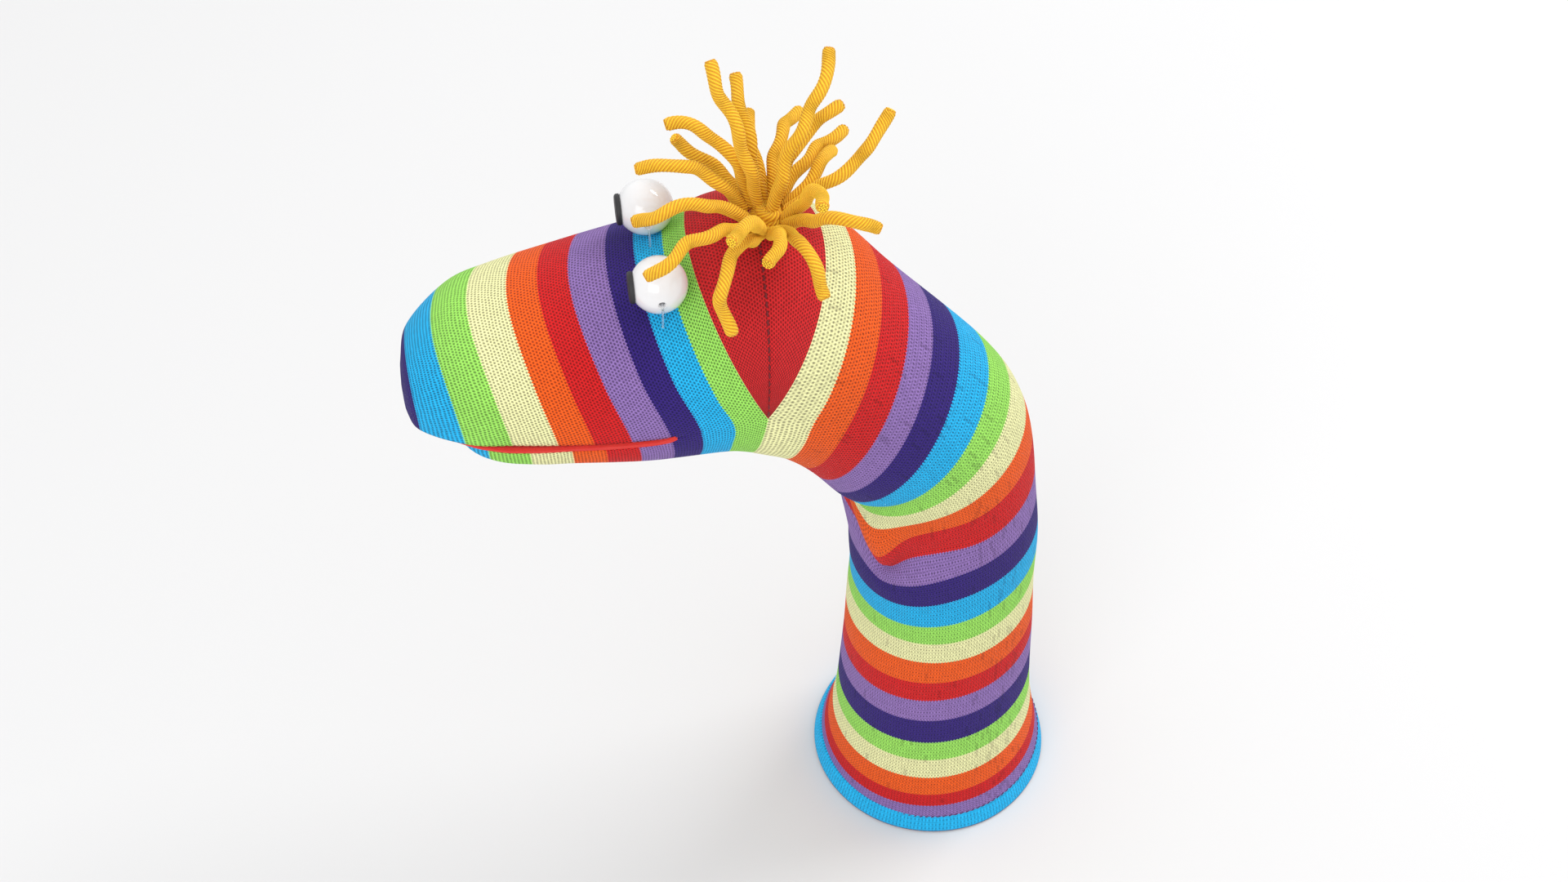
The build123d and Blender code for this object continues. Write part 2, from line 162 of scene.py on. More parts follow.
def knit(name, stripes=None, plain=None, dots=1.0, ribs=0.0, flecks=0.0):
    """Stocking stitch seen close: dimples between the loops and ribs along the wales, both bumped and
    darkened with painted shade, and colour changing only from one row of stitches to the next.  dots and
    ribs say how strong each is."""
    n = Nodes(name, roughness=0.86)
    u, v = n.uv()
    wander = n.math("MULTIPLY", n.math("SUBTRACT", n.noise(260.0, 1.0), 0.5), 0.55)
    across = n.math("ADD", n.math("MULTIPLY", u, WALES), wander)
    along = n.math("ADD", n.math("MULTIPLY", v, COURSES), wander)
    half_way = n.math("MULTIPLY", n.math("MODULO", n.math("FLOOR", along), 2.0), 0.5)
    staggered = n.math("ADD", across, half_way)
    wave_x = n.math("COSINE", n.math("MULTIPLY", staggered, 2 * math.pi))
    wave_y = n.math("COSINE", n.math("MULTIPLY", along, 2 * math.pi))
    pit_x = n.math("ADD", n.math("MULTIPLY", wave_x, 0.5), 0.5)
    pit_y = n.math("SUBTRACT", 0.5, n.math("MULTIPLY", wave_y, 0.5))
    pit = n.math("POWER", n.math("MULTIPLY", pit_x, pit_y), 1.25)
    wale = n.math("ABSOLUTE", n.math("SINE", n.math("MULTIPLY", across, math.pi)))
    groove = n.math("POWER", n.math("SUBTRACT", 1.0, wale), 1.6)
    deep = n.math("ADD", n.math("MULTIPLY", pit, dots), n.math("MULTIPLY", groove, ribs))
    height = n.math("SUBTRACT", 1.0, deep)
    # the row each point belongs to, with the small steps of the stitches' legs
    leg = n.math("ABSOLUTE", n.math("SUBTRACT", n.math("FRACT", n.math("MULTIPLY", u, WALES)), 0.5))
    slanted = n.math("ADD", n.math("MULTIPLY", v, COURSES), leg)
    row = n.math("FLOOR", n.math("SUBTRACT", slanted, 0.25))
    cell = n.add("ShaderNodeCombineXYZ")
    n.link(n.math("FLOOR", staggered), cell.inputs[0])
    n.link(n.math("FLOOR", along), cell.inputs[1])
    each = n.add("ShaderNodeTexWhiteNoise", noise_dimensions="2D")
    n.link(cell.outputs[0], each.inputs[0])
    if stripes:
        place = n.math("DIVIDE", n.math("ADD", row, 0.5), COURSES * len(STRIPES))
        ramp = n.add("ShaderNodeValToRGB")
        ramp.color_ramp.interpolation = "CONSTANT"
        first, last = stripes
        elements = ramp.color_ramp.elements
        elements.remove(elements[1])
        for k in range(first, last):
            element = elements[0] if k == first else elements.new(k / len(STRIPES))
            element.color = (*LETTERS[STRIPES[k]], 1)
        n.link(place, ramp.inputs[0])
        colour = ramp.outputs[0]
    else:
        rgb = n.add("ShaderNodeRGB")
        rgb.outputs[0].default_value = (*plain, 1)
        colour = rgb.outputs[0]
    # painted shade: the colour is darkened in the dimples between the loops and in the grooves between the
    # wales, by the same depth as the bump
    shaded = n.mix(n.math("MULTIPLY", deep, 0.62, clamp=True), colour, (0.16, 0.13, 0.16), "MULTIPLY")
    clouds = n.math("MULTIPLY", n.noise(45.0, 3.0), 0.16)
    uneven = n.math("ADD", n.math("MULTIPLY", each.outputs[0], 0.26), clouds)
    toned = n.mix(uneven, shaded, (0.52, 0.50, 0.54), "MULTIPLY")
    if flecks:
        # yarn ends pulled through: short dark dashes along the wales, thickest in a band down one side
        column = n.add("ShaderNodeCombineXYZ")
        n.link(n.math("FLOOR", across), column.inputs[0])
        shift = n.add("ShaderNodeTexWhiteNoise", noise_dimensions="2D")
        n.link(column.outputs[0], shift.inputs[0])
        dash = n.add("ShaderNodeCombineXYZ")
        n.link(n.math("FLOOR", across), dash.inputs[0])
        dash_along = n.math("ADD", n.math("MULTIPLY", v, 2.6), n.math("MULTIPLY", shift.outputs[0], 9.0))
        n.link(n.math("FLOOR", dash_along), dash.inputs[1])
        chance = n.add("ShaderNodeTexWhiteNoise", noise_dimensions="2D")
        n.link(dash.outputs[0], chance.inputs[0])
        from_band = n.math("ABSOLUTE", n.math("SUBTRACT", u, 0.085))
        band = n.math("SUBTRACT", 1.0, n.math("MULTIPLY", from_band, 13.0), clamp=True)
        often = n.math("SUBTRACT", 0.985, n.math("MULTIPLY", band, flecks))
        dark = n.math("GREATER_THAN", chance.outputs[0], often)
        thin = n.math("POWER", wale, 2.0)
        strength = n.math("MULTIPLY", n.math("MULTIPLY", dark, thin), 0.5)
        toned = n.mix(strength, toned, (0.30, 0.26, 0.30), "MULTIPLY")
    n.link(toned, n.shader.inputs["Base Color"])
    n.shader.inputs["Specular IOR Level"].default_value = 0.18
    n.sheen(0.04, 0.5)
    soft = n.bump(n.noise(70.0, 2.0), 0.0016, 0.45)
    n.link(n.bump(height, 0.0006, 0.85, soft), n.shader.inputs["Normal"])
    n.link(n.math("ADD", n.math("MULTIPLY", n.noise(60.0, 3.0), 0.15), 0.78), n.shader.inputs["Roughness"])
    return n.material


def felt(name, colour):
    n = Nodes(name, colour, 0.95)
    fibres = n.noise(2600.0, 4.0, roughness=0.7)
    patches = n.noise(150.0, 2.0)
    tone = n.mix(n.math("MULTIPLY", fibres, 0.5), colour, tuple(c * 0.45 for c in colour))
    n.link(n.mix(n.math("MULTIPLY", patches, 0.2), tone, (0.85, 0.12, 0.08)), n.shader.inputs["Base Color"])
    n.sheen(0.1, 0.5, (1.0, 0.7, 0.7))
    n.link(n.bump(fibres, 0.0004, 0.7), n.shader.inputs["Normal"])
    return n.material


def thread(name, colour):
    n = Nodes(name, colour, 0.7)
    twist = n.noise(3000.0, 1.0)
    n.link(n.mix(n.math("MULTIPLY", twist, 0.5), colour, tuple(c * 0.4 for c in colour)),
           n.shader.inputs["Base Color"])
    n.link(n.bump(twist, 0.0002, 0.6), n.shader.inputs["Normal"])
    n.sheen(0.15, 0.4)
    return n.material


STARTS = 7             # yarns laid round the cord


def cotton_cord(name):
    """u runs round the cord and v along it, in rib pitches."""
    n = Nodes(name, CORD_YELLOW, 0.75)
    u, v = n.uv()
    spiral = n.math("ADD", n.math("MULTIPLY", u, STARTS), v)
    wave = n.math("COSINE", n.math("MULTIPLY", spiral, 2 * math.pi))
    rib = n.math("ADD", n.math("MULTIPLY", wave, 0.5), 0.5)
    strand = n.noise(1400.0, 2.0)
    # painted shade: the colour turns a deeper orange in the grooves between the spiral ribs
    deep = n.math("SUBTRACT", 1.0, rib)
    tone = n.mix(n.math("MULTIPLY", n.math("POWER", deep, 1.8), 0.85), CORD_YELLOW, (0.62, 0.19, 0.002))
    n.link(n.mix(n.math("MULTIPLY", strand, 0.25), tone, (0.90, 0.42, 0.010)), n.shader.inputs["Base Color"])
    n.sheen(0.12, 0.4, (1.0, 0.85, 0.5))
    n.link(n.bump(strand, 0.0003, 0.5, n.bump(rib, 0.0004, 0.9)), n.shader.inputs["Normal"])
    return n.material


def bead(name):
    n = Nodes(name, (0.747, 0.747, 0.76), 0.1)
    cloud = n.noise(120.0, 2.0)
    n.link(n.mix(n.math("MULTIPLY", cloud, 0.12), (0.774, 0.774, 0.783), (0.648, 0.648, 0.675)),
           n.shader.inputs["Base Color"])
    n.link(n.math("ADD", n.math("MULTIPLY", n.noise(400.0, 2.0), 0.06), 0.06), n.shader.inputs["Roughness"])
    n.shader.inputs["Coat Weight"].default_value = 0.5
    n.shader.inputs["Coat Roughness"].default_value = 0.04
    n.shader.inputs["Subsurface Weight"].default_value = 0.15
    n.shader.inputs["Subsurface Radius"].default_value = (0.004, 0.004, 0.004)
    return n.material


def pupil_paint(name):
    n = Nodes(name, (0.012, 0.012, 0.014), 0.55)
    speckle = n.noise(1800.0, 2.0)
    n.link(n.mix(n.math("MULTIPLY", speckle, 0.5), (0.010, 0.010, 0.012), (0.03, 0.03, 0.034)),
           n.shader.inputs["Base Color"])
    n.link(n.bump(speckle, 0.0001, 0.4), n.shader.inputs["Normal"])
    return n.material


def nylon(name):
    n = Nodes(name, (0.93, 0.95, 0.98), 0.12)
    n.shader.inputs["Transmission Weight"].default_value = 0.85
    n.shader.inputs["IOR"].default_value = 1.5
    n.link(n.math("ADD", n.math("MULTIPLY", n.noise(900.0), 0.1), 0.08), n.shader.inputs["Roughness"])
    return n.material


def board(name):
    n = Nodes(name, (0.42, 0.33, 0.22), 0.9)
    flakes = n.noise(500.0, 4.0)
    n.link(n.mix(flakes, (0.36, 0.28, 0.19), (0.50, 0.41, 0.29)), n.shader.inputs["Base Color"])
    n.link(n.bump(flakes, 0.0002, 0.4), n.shader.inputs["Normal"])
    return n.material


KNIT_LEG = knit("knit_leg", stripes=(0, 25), dots=0.78, ribs=0.42, flecks=0.22)
KNIT_WRIST = knit("knit_wrist", stripes=(0, 25), dots=0.85, ribs=0.42, flecks=0.08)
KNIT_NECK = knit("knit_neck", stripes=(13, 25), dots=1.05, ribs=0.35, flecks=0.009)
KNIT_HEAD = knit("knit_head", stripes=(22, 35), dots=1.2)
KNIT_HEEL = knit("knit_heel", plain=HEEL_RED, dots=1.2)
KNIT_HEM = knit("knit_hem", plain=CYAN, dots=0.4, ribs=0.5)
KNIT_UNDER = knit("knit_under", plain=NAVY, dots=0.4, ribs=0.5)
FELT = felt("felt", FELT_RED)
CORD = cotton_cord("cotton_cord")
SEAM_RED = thread("seam_red", (0.17, 0.006, 0.012))
SEAM_PURPLE = thread("seam_purple", (0.10, 0.03, 0.14))


# ---- the shape of the sock --------------------------------------------------------------------
# s counts stripes from the hem; each key is s, centre y, centre z, tilt of the outer half, tilt of
# the inner half, half width, half depth.  The inner half is the throat side, towards -Y.
LEG_KEYS = (
    (0, 0, 0, 0, 0, 52, 52), (1, 0, 8, 2, 2, 49.5, 49.5), (3, 0, 22, 5, 5, 46, 46), (5, 0, 44, 7, 7, 43, 43),
    (8, 0, 85, 9, 9, 40, 41), (11, 0, 125, 11, 11, 39, 39.5), (13, -1, 152, 14.5, 14.5, 38, 39.5),
    (15, -3.5, 182, 18, 18, 36.5, 39.5), (16, -5, 196, 22, 22, 36.5, 39.5), (17, -7, 207, 29, 28, 37.5, 40),
    (18, -11, 217, 39, 37, 38.5, 41), (20, -24, 236, 56.5, 54, 39.5, 42.5),
    (22, -41.5, 257, 64, 65, 41, 44.5), (24, -62, 278.5, 64, 76, 45, 47.5),
    (25, -80, 289.5, 56, 82, 48.5, 48.5))
BEHIND_MOUTH = (
    (25, -80, 289.5, 116, 82, 48.5, 48.5), (26, -91, 288.5, 114, 86, 49.5, 43),
    (28, -114.5, 285.9, 112, 92, 48.9, 39.3))
HEAD_KEYS = BEHIND_MOUTH + (
    (30, -140, 283.9, 106, 95, 46.2, 35.3), (32, -168.5, 282.4, 101, 96, 41, 31.3),
    (33, -184.8, 281.2, 98, 95, 36.2, 27.8), (34, -202, 278.3, 95, 93, 23, 18),
    (34.7, -206.6, 276.5, 92, 92, 10.5, 8.5), (35, -207.6, 276, 91, 91, 0.4, 0.4))
JAW_KEYS = BEHIND_MOUTH + (
    (29, -125, 284.9, 108, 92, 48.2, 37.6), (30, -136.5, 284, 100, 92, 46.8, 35.7),
    (31, -149.5, 283.1, 98, 92, 45, 33.5), (32, -163, 282.2, 96, 92, 43, 32),
    (33, -177.5, 281.2, 94, 92, 38.8, 28.5), (33.6, -187, 280.6, 92, 92, 31, 22),
    (33.9, -192.4, 280.2, 91, 91, 17, 12.5), (34, -194.6, 280, 90, 90, 0.4, 0.4))
# where the skins meet, in stripes
HEM_TOP, SLEEVE_TOP, WRIST_END, NECK_END = 0.95, 13.0, 22.0, 24.0
TOE_FROM, NOSE_END, JAW_END = 33.0, 35.0, 34.0
LIP_S = 27.6                           # the mouth's corner
KNIT_THICK = 1.8
HEEL_CENTRE = (0.0, -80.0, 289.5)
HEEL_R = 48.5
GORE_FROM, GORE_TO = 56.0, 116.0       # tilt of the rings on each side of the heel
UNDER = 0.95                           # the lower half is this much shallower past the heel


def hermite(keys, s):
    """Smooth values between keys, as a curve through them."""
    k = np.array(keys, float)
    x, y = k[:, 0], k[:, 1:]
    s = np.clip(np.asarray(s, float), x[0], x[-1])
    i = np.clip(np.searchsorted(x, s, side="right") - 1, 0, len(x) - 2)
    m = np.zeros_like(y)
    m[1:-1] = (y[2:] - y[:-2]) / (x[2:] - x[:-2])[:, None]
    m[0] = (y[1] - y[0]) / (x[1] - x[0])
    m[-1] = (y[-1] - y[-2]) / (x[-1] - x[-2])
    h = (x[i + 1] - x[i])[..., None]
    t = ((s - x[i]) / (x[i + 1] - x[i]))[..., None]
    return ((2 * t**3 - 3 * t**2 + 1) * y[i] + (t**3 - 2 * t**2 + t) * h * m[i]
            + (-2 * t**3 + 3 * t**2) * y[i + 1] + (t**3 - t**2) * h * m[i + 1])


def ease(x):
    x = np.clip(x, 0, 1)
    return x * x * (3 - 2 * x)


def bell(x, centre, width):
    return np.exp(-((x - centre) / width) ** 2)


def angle_from(th, degrees):
    """Signed angle from a direction round the sock, in degrees, between -180 and 180."""
    return (np.degrees(th) - degrees + 180) % 360 - 180


def folds(s, th):
    """The loose knit where the wrist is bent: how far it stands out and how far it is pulled up, in mm."""
    from_throat = np.abs(angle_from(th, 270))
    drawn = ease((40 - from_throat) / 30)        # pulled up to the crease under the head
    inside = ease((20 - from_throat) / 14)       # tucked into the crease
    ridges = bell(angle_from(th, -51), 0, 15) + 0.8 * bell(angle_from(th, 231), 0, 15)
    side = ease((115 - from_throat) / 75)        # the throat and both sides, but not the back
    out = -11.0 * inside * ease((s - 15.4) / 0.8) * ease((19.9 - s) / 0.8)
    out = out - 1.0 * ease((44 - from_throat) / 18) * bell(s, 14.5, 0.8)
    out = out + 4.6 * ridges * bell(s, 16.3, 0.9)
    out = out + 1.6 * side * (1 - 0.9 * drawn) * bell(s, 20.8, 1.0)
    out = out - 2.2 * side * (1 - 0.5 * drawn) * bell(s, 18.7, 0.5)
    out = out - 2.0 * side * (1 - drawn) * bell(s, 15.0, 0.45)
    out = out + 1.4 * side * (1 - drawn) * bell(s, 13.9, 0.8)
    out = out + 0.45 * np.sin(3 * th + 1.3 * s) * bell(s, 12.0, 3.5)
    up = 20.0 * drawn * np.clip((20 - s) / 5, 0, 1) * ease((s - 14.0) / 1.0)
    up = up - 14.5 * ridges * (1 - 0.7 * drawn) * bell(s, 15.6, 1.05)
    up = up - 4.0 * bell(angle_from(th, -32), 0, 28) * bell(s, 14.0, 1.2)
    up = up + 3.2 * bell(angle_from(th, -12), 0, 22) * bell(s, 15.5, 1.6)
    return out, up


def surface(keys, s, th):
    """A point of the skin in mm, for arrays s and th of one shape.

    th is 0 at +X, 90 degrees on the outer side and 270 degrees at the throat."""
    yc, zc, outer, inner, a, b = np.moveaxis(hermite(keys, s), -1, 0)
    outer, inner = np.radians(outer), np.radians(inner)
    c, sn = np.cos(th), np.sin(th)
    w = np.minimum(0.6, 0.02 + 0.25 * np.abs(s - HEEL_AT))
    tilt = inner + (outer - inner) * ease((sn + w) / (2 * w))
    stand, up = folds(s, th)
    depth = np.where(sn < 0, 1 - (1 - UNDER) * ease((s - 24.5) / 2.0), 1.0)
    x = (a + stand) * c
    r = (b * depth + stand) * sn
    return np.stack([x, yc + r * np.cos(tilt) - up * 0.22, zc + r * np.sin(tilt) + up], -1)


def gore(t, th):
    """The heel: t runs from 0 at the leg's side to 1 at the foot's."""
    tilt = np.radians(GORE_FROM + (GORE_TO - GORE_FROM) * t)
    dart = 1.0 - 0.018 * bell(t, 0.5, 0.035) * ease(np.sin(th) / 0.25)
    wide, high = HEEL_R * dart * np.cos(th), HEEL_R * dart * np.sin(th)
    return np.stack([wide, HEEL_CENTRE[1] + high * np.cos(tilt), HEEL_CENTRE[2] + high * np.sin(tilt)], -1)


# ---- meshes -----------------------------------------------------------------------------------
def new_mesh(name, points, faces, uvs, material, flat=None):
    """points in mm; uvs, one pair for each face corner."""
    mesh = bpy.data.meshes.new(name)
    mesh.from_pydata((np.asarray(points, float) * MM).tolist(), [], faces)
    layer = mesh.uv_layers.new(name="UVMap")
    layer.data.foreach_set("uv", np.asarray(uvs, np.float32).ravel())
    smooth = np.ones(len(mesh.polygons), bool)
    if flat is not None:
        smooth[flat] = False
    mesh.polygons.foreach_set("use_smooth", smooth)
    mesh.materials.append(material)
    mesh.update()
    piece = bpy.data.objects.new(name, mesh)
    bpy.context.scene.collection.objects.link(piece)
    return piece


def skin(name, points, u, v, material, closed, thick, sides_from=None, ends=False):
    """A wall of cloth: the outer grid, its inner copy at thick along the normal, and the edges between them.

    Edges along the sides are made from row sides_from on, where they show, and not where pieces meet.
    points[i, j] has i along the sock and j round it; u and v have one more column if closed."""
    rows, cols = points.shape[:2]
    along = np.gradient(points, axis=0)
    if closed:
        wide = np.concatenate([points[:, -1:], points, points[:, :1]], 1)
        round_ = (wide[:, 2:] - wide[:, :-2]) / 2
    else:
        round_ = np.gradient(points, axis=1)
    normal = np.cross(round_, along)
    normal /= np.linalg.norm(normal, axis=-1, keepdims=True) + 1e-9
    inner = points - normal * thick
    verts = np.concatenate([points.reshape(-1, 3), inner.reshape(-1, 3)])
    faces, uvs, flat = [], [], []
    off = rows * cols
    last = cols if closed else cols - 1

    def at(i, j):
        return i * cols + j % cols

    def put(corners, grid, is_flat=False):
        if is_flat:
            flat.append(len(faces))
        faces.append(corners)
        uvs.extend((u[i, j], v[i, j]) for i, j in grid)

    for i in range(rows - 1):
        for j in range(last):
            ring = ((i, j), (i, j + 1), (i + 1, j + 1), (i + 1, j))
            put([at(*g) for g in ring], ring)
            put([at(*g) + off for g in ring[::-1]], ring[::-1])
    if ends:
        e = rows - 1
        for j in range(last):
            a, b = (0, j + 1), (0, j)
            put([at(*a), at(*b), at(*b) + off, at(*a) + off], (a, b, b, a), True)
            a, b = (e, j), (e, j + 1)
            put([at(*a), at(*b), at(*b) + off, at(*a) + off], (a, b, b, a), True)
    if sides_from is not None:
        e = cols - 1
        for i in range(sides_from, rows - 1):
            a, b = (i, 0), (i + 1, 0)
            put([at(*a), at(*b), at(*b) + off, at(*a) + off], (a, b, b, a), True)
            a, b = (i + 1, e), (i, e)
            put([at(*a), at(*b), at(*b) + off, at(*a) + off], (a, b, b, a), True)
    return new_mesh(name, verts, faces, uvs, material, flat)


def grid(s_values, th_values):
    s, th = np.meshgrid(np.asarray(s_values, float), np.asarray(th_values, float), indexing="ij")
    return s, th


def tube_skin(name, keys, s0, s1, material, per_stripe=8, around=160):
    s, th = grid(np.linspace(s0, s1, int(round((s1 - s0) * per_stripe)) + 1),
                 np.arange(around) * 2 * math.pi / around)
    u = np.broadcast_to(np.arange(around + 1) / around, (s.shape[0], around + 1))
    v = np.broadcast_to(s[:, :1], u.shape)
    return skin(name, surface(keys, s, th), u, v, material, True, KNIT_THICK)


def upper_skin(name, keys, s0, s1, material, per_stripe=8, around=90, sides_from=None):
    """The outer half of the sock between two stripes."""
    rows = int(round((s1 - s0) * per_stripe)) + 1
    s, th = grid(np.linspace(s0, s1, rows), np.linspace(0.0, math.pi, around))
    points = surface(keys, s, th)
    # the toe rolls under past the mouth line, and the stripes bow forward along the top
    points[..., 2] -= np.maximum(0, s - 32.2) * 1.15 * bell(np.sin(th), 0, 0.28)
    bow = 0.34 * bell(angle_from(th, 90), 0, 45) * ease((s - 27.5) / 2) * ease((34.6 - s) / 2)
    return skin(name, points, th / (2 * math.pi), s - bow, material, False, KNIT_THICK, sides_from)


sleeve_skin = tube_skin("sleeve_skin", LEG_KEYS, HEM_TOP, SLEEVE_TOP, KNIT_LEG)
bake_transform(sleeve_skin)
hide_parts("leg_tube")

wrist_skin = tube_skin("wrist_skin", LEG_KEYS, SLEEVE_TOP, WRIST_END, KNIT_WRIST, per_stripe=10)
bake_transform(wrist_skin)
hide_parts("wrist_tube", "wrist_gusset")

neck_skin = tube_skin("neck_skin", LEG_KEYS, WRIST_END, NECK_END, KNIT_NECK)
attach(neck_skin, "head")
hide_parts("neck_shell")

nape_skin = upper_skin("nape_skin", LEG_KEYS, NECK_END, HEEL_AT, KNIT_NECK)
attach(nape_skin, "head")

t, th = grid(np.linspace(0, 1, 41), np.linspace(0, math.pi, 90))
heel_skin = skin("heel_skin", gore(t, th), th / (2 * math.pi), 4 * t, KNIT_HEEL, False, KNIT_THICK)
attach(heel_skin, "head")
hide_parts("heel_pocket")

foot_skin = upper_skin("foot_skin", HEAD_KEYS, HEEL_AT, TOE_FROM, KNIT_HEAD, sides_from=21)
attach(foot_skin, "head")
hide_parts("foot_shell")
toe_skin = upper_skin("toe_skin", HEAD_KEYS, TOE_FROM, NOSE_END, KNIT_HEAD, per_stripe=12, sides_from=0)
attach(toe_skin, "head")
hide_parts("toe_cap")

# the throat and the lower jaw are one run of knit, from the neck to the jaw's end
s, th = grid(np.linspace(NECK_END, JAW_END, 101), np.linspace(math.pi, 2 * math.pi, 90))
jaw_points = np.where((s < HEEL_AT)[..., None], surface(LEG_KEYS, s, th), surface(JAW_KEYS, s, th))
drop = 2.6 * ease((s - LIP_S) / 0.9)            # makes room for the lining's two leaves between the lips
jaw_points[..., 2] -= drop * ease(1.0 + 1.6 * np.sin(th))
jaw_skin = skin("jaw_skin", jaw_points, th / (2 * math.pi), s, KNIT_HEAD, False, KNIT_THICK, 36)
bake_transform(jaw_skin)
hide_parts("throat_panel", "chin_gusset", "jaw_shell")


# ---- mouth lining -----------------------------------------------------------------------------
FELT_THICK = 1.15
LEAF_ROWS, LEAF_COLS = 60, 41


def lining(name, keys, tip_s, drop_z, lift):
    """A felt leaf across the mouth, following the lips on both sides; lift is +1 for the upper leaf."""
    s_values = np.linspace(LIP_S + 0.02, tip_s, LEAF_ROWS)
    s, th = grid(s_values, [0.0])
    lip = surface(keys, s, th)[:, 0]
    across = np.linspace(-1, 1, LEAF_COLS)
    proud = 1.6 * ease((s_values - LIP_S) / 0.5) - 2.6 * ease((s_values - tip_s + 2.4) / 1.6) * (lift > 0)
    half = lip[:, 0] + proud - 0.8
    tip_push = (1.2 if lift < 0 else -1.5) * ease((s_values - tip_s + 1.0) / 1.0)
    shape = (LEAF_ROWS, LEAF_COLS)
    points = np.stack([half[:, None] * across, np.broadcast_to((lip[:, 1] - tip_push)[:, None], shape),
                       np.broadcast_to((lip[:, 2] - drop_z)[:, None], shape)], -1)
    u = np.broadcast_to(across, points.shape[:2])
    v = np.broadcast_to(s_values[:, None], points.shape[:2])
    piece = skin(name, points, u, v, FELT, False, -lift * FELT_THICK, 0, True)
    row_steps = np.linalg.norm(np.diff(points[:, LEAF_COLS // 2], axis=0), axis=1)
    return piece, float(np.sum(row_steps * (half[1:] + half[:-1]))) * MM * MM


steps = np.linspace(LIP_S, JAW_END, LEAF_ROWS)
opened = ease((steps - LIP_S) / 0.9)
felt_upper, area_upper = lining("felt_upper", HEAD_KEYS, 34.75, 0.15 + 0.9 * opened, 1)
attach(felt_upper, "head")
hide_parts("mouth_felt_upper")
felt_lower, area_lower = lining("felt_lower", JAW_KEYS, 33.95, 0.3 + 1.3 * opened, -1)
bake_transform(felt_lower)
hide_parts("mouth_felt_lower")

# ---- hem --------------------------------------------------------------------------------------
# outlines of the folded hem and of the turned-in edge under it, as radius and height
HEM_PROFILE = ((46.2, 0.6), (46.6, 0.0), (50.9, 0.0), (51.8, 0.6), (51.9, 1.6), (51.3, 4.0), (50.4, 6.6),
               (49.9, 7.9), (49.3, 8.6), (48.4, 8.8), (46.4, 8.6), (46.2, 7.8), (46.2, 4.0))
UNDER_PROFILE = ((47.5, 0.0), (51.2, 0.0), (51.9, 0.5), (51.6, 1.0), (47.5, 0.9))


def turned(name, profile, material, around=320, pitch=6.4):
    """A ring of the given closed profile; v counts rows of stitches along the profile."""
    count = len(profile)
    th = np.arange(around) * 2 * math.pi / around
    lobe = 1.0 + 0.0015 * np.sin(3 * th + 0.6) + 0.001 * np.sin(7 * th)
    rim = np.stack([profile[:, 0][:, None] * np.cos(th) * lobe, profile[:, 0][:, None] * np.sin(th) * lobe,
                    np.broadcast_to(profile[:, 1][:, None], (count, around))], -1)
    lengths = np.linalg.norm(np.diff(np.concatenate([profile, profile[:1]]), axis=0), axis=1)
    run = np.concatenate([[0], np.cumsum(lengths)]) / (pitch * 2)
    faces, uvs = [], []
    for i in range(count):
        for j in range(around):
            k = (i + 1) % count
            m = (j + 1) % around
            faces.append([i * around + j, i * around + m, k * around + m, k * around + j])
            uvs.extend([(j / around, run[i]), ((j + 1) / around, run[i]), ((j + 1) / around, run[i + 1]),
                        (j / around, run[i + 1])])
    return new_mesh(name, rim.reshape(-1, 3), faces, uvs, material)


def rounded_profile(points, repeat=2):
    """A closed outline with its corners cut, repeat times over."""
    p = np.array(points, float)
    for _ in range(repeat):
        q = np.roll(p, -1, axis=0)
        p = np.stack([0.75 * p + 0.25 * q, 0.25 * p + 0.75 * q], 1).reshape(-1, 2)
    return p


hem_roll = turned("hem_roll", rounded_profile(HEM_PROFILE), KNIT_HEM)
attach(hem_roll, "sleeve")
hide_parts("hem_band")
hem_under = turned("hem_under", rounded_profile(UNDER_PROFILE), KNIT_UNDER)
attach(hem_under, "sleeve")


def stitch_row(name, places, tangents, length, radius, material):
    """Short capsules of thread, each lying along its tangent."""
    verts, faces, uvs = [], [], []
    sides, stations = 8, ((-0.5, 0.0), (-0.42, 0.75), (-0.2, 1.0), (0.2, 1.0), (0.42, 0.75), (0.5, 0.0))
    for place, tangent in zip(places, tangents):
        tangent = tangent / np.linalg.norm(tangent)
        helper = np.array([0.0, 0.0, 1.0]) if abs(tangent[2]) < 0.8 else np.array([1.0, 0.0, 0.0])
        e1 = np.cross(tangent, helper)
        e1 /= np.linalg.norm(e1)
        e2 = np.cross(tangent, e1)
        base = len(verts)
        for along, wide in stations:
            for k in range(sides):
                a = 2 * math.pi * k / sides
                verts.append(place + tangent * length * along
                             + (e1 * math.cos(a) + e2 * math.sin(a)) * radius * max(wide, 0.02))
        for i in range(len(stations) - 1):
            for k in range(sides):
                m = (k + 1) % sides
                faces.append([base + i * sides + k, base + i * sides + m, base + (i + 1) * sides + m,
                              base + (i + 1) * sides + k])
                uvs.extend([(k / sides, i), ((k + 1) / sides, i)])
                uvs.extend([((k + 1) / sides, i + 1), (k / sides, i + 1)])
    return new_mesh(name, verts, faces, uvs, material)


HEM_STITCHES = 118
th = np.arange(HEM_STITCHES) * 2 * math.pi / HEM_STITCHES
hem_ring = surface(LEG_KEYS, np.full_like(th, 1.12), th)
outward = np.stack([np.cos(th), np.sin(th), 0 * th], -1)
leaning = np.stack([-np.sin(th), np.cos(th), 0.55 + 0 * th], -1)
hem_thread = stitch_row("hem_thread", hem_ring + outward * 0.12, leaning, 1.7, 0.26, SEAM_PURPLE)
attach(hem_thread, "sleeve")
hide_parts("hem_stitches")

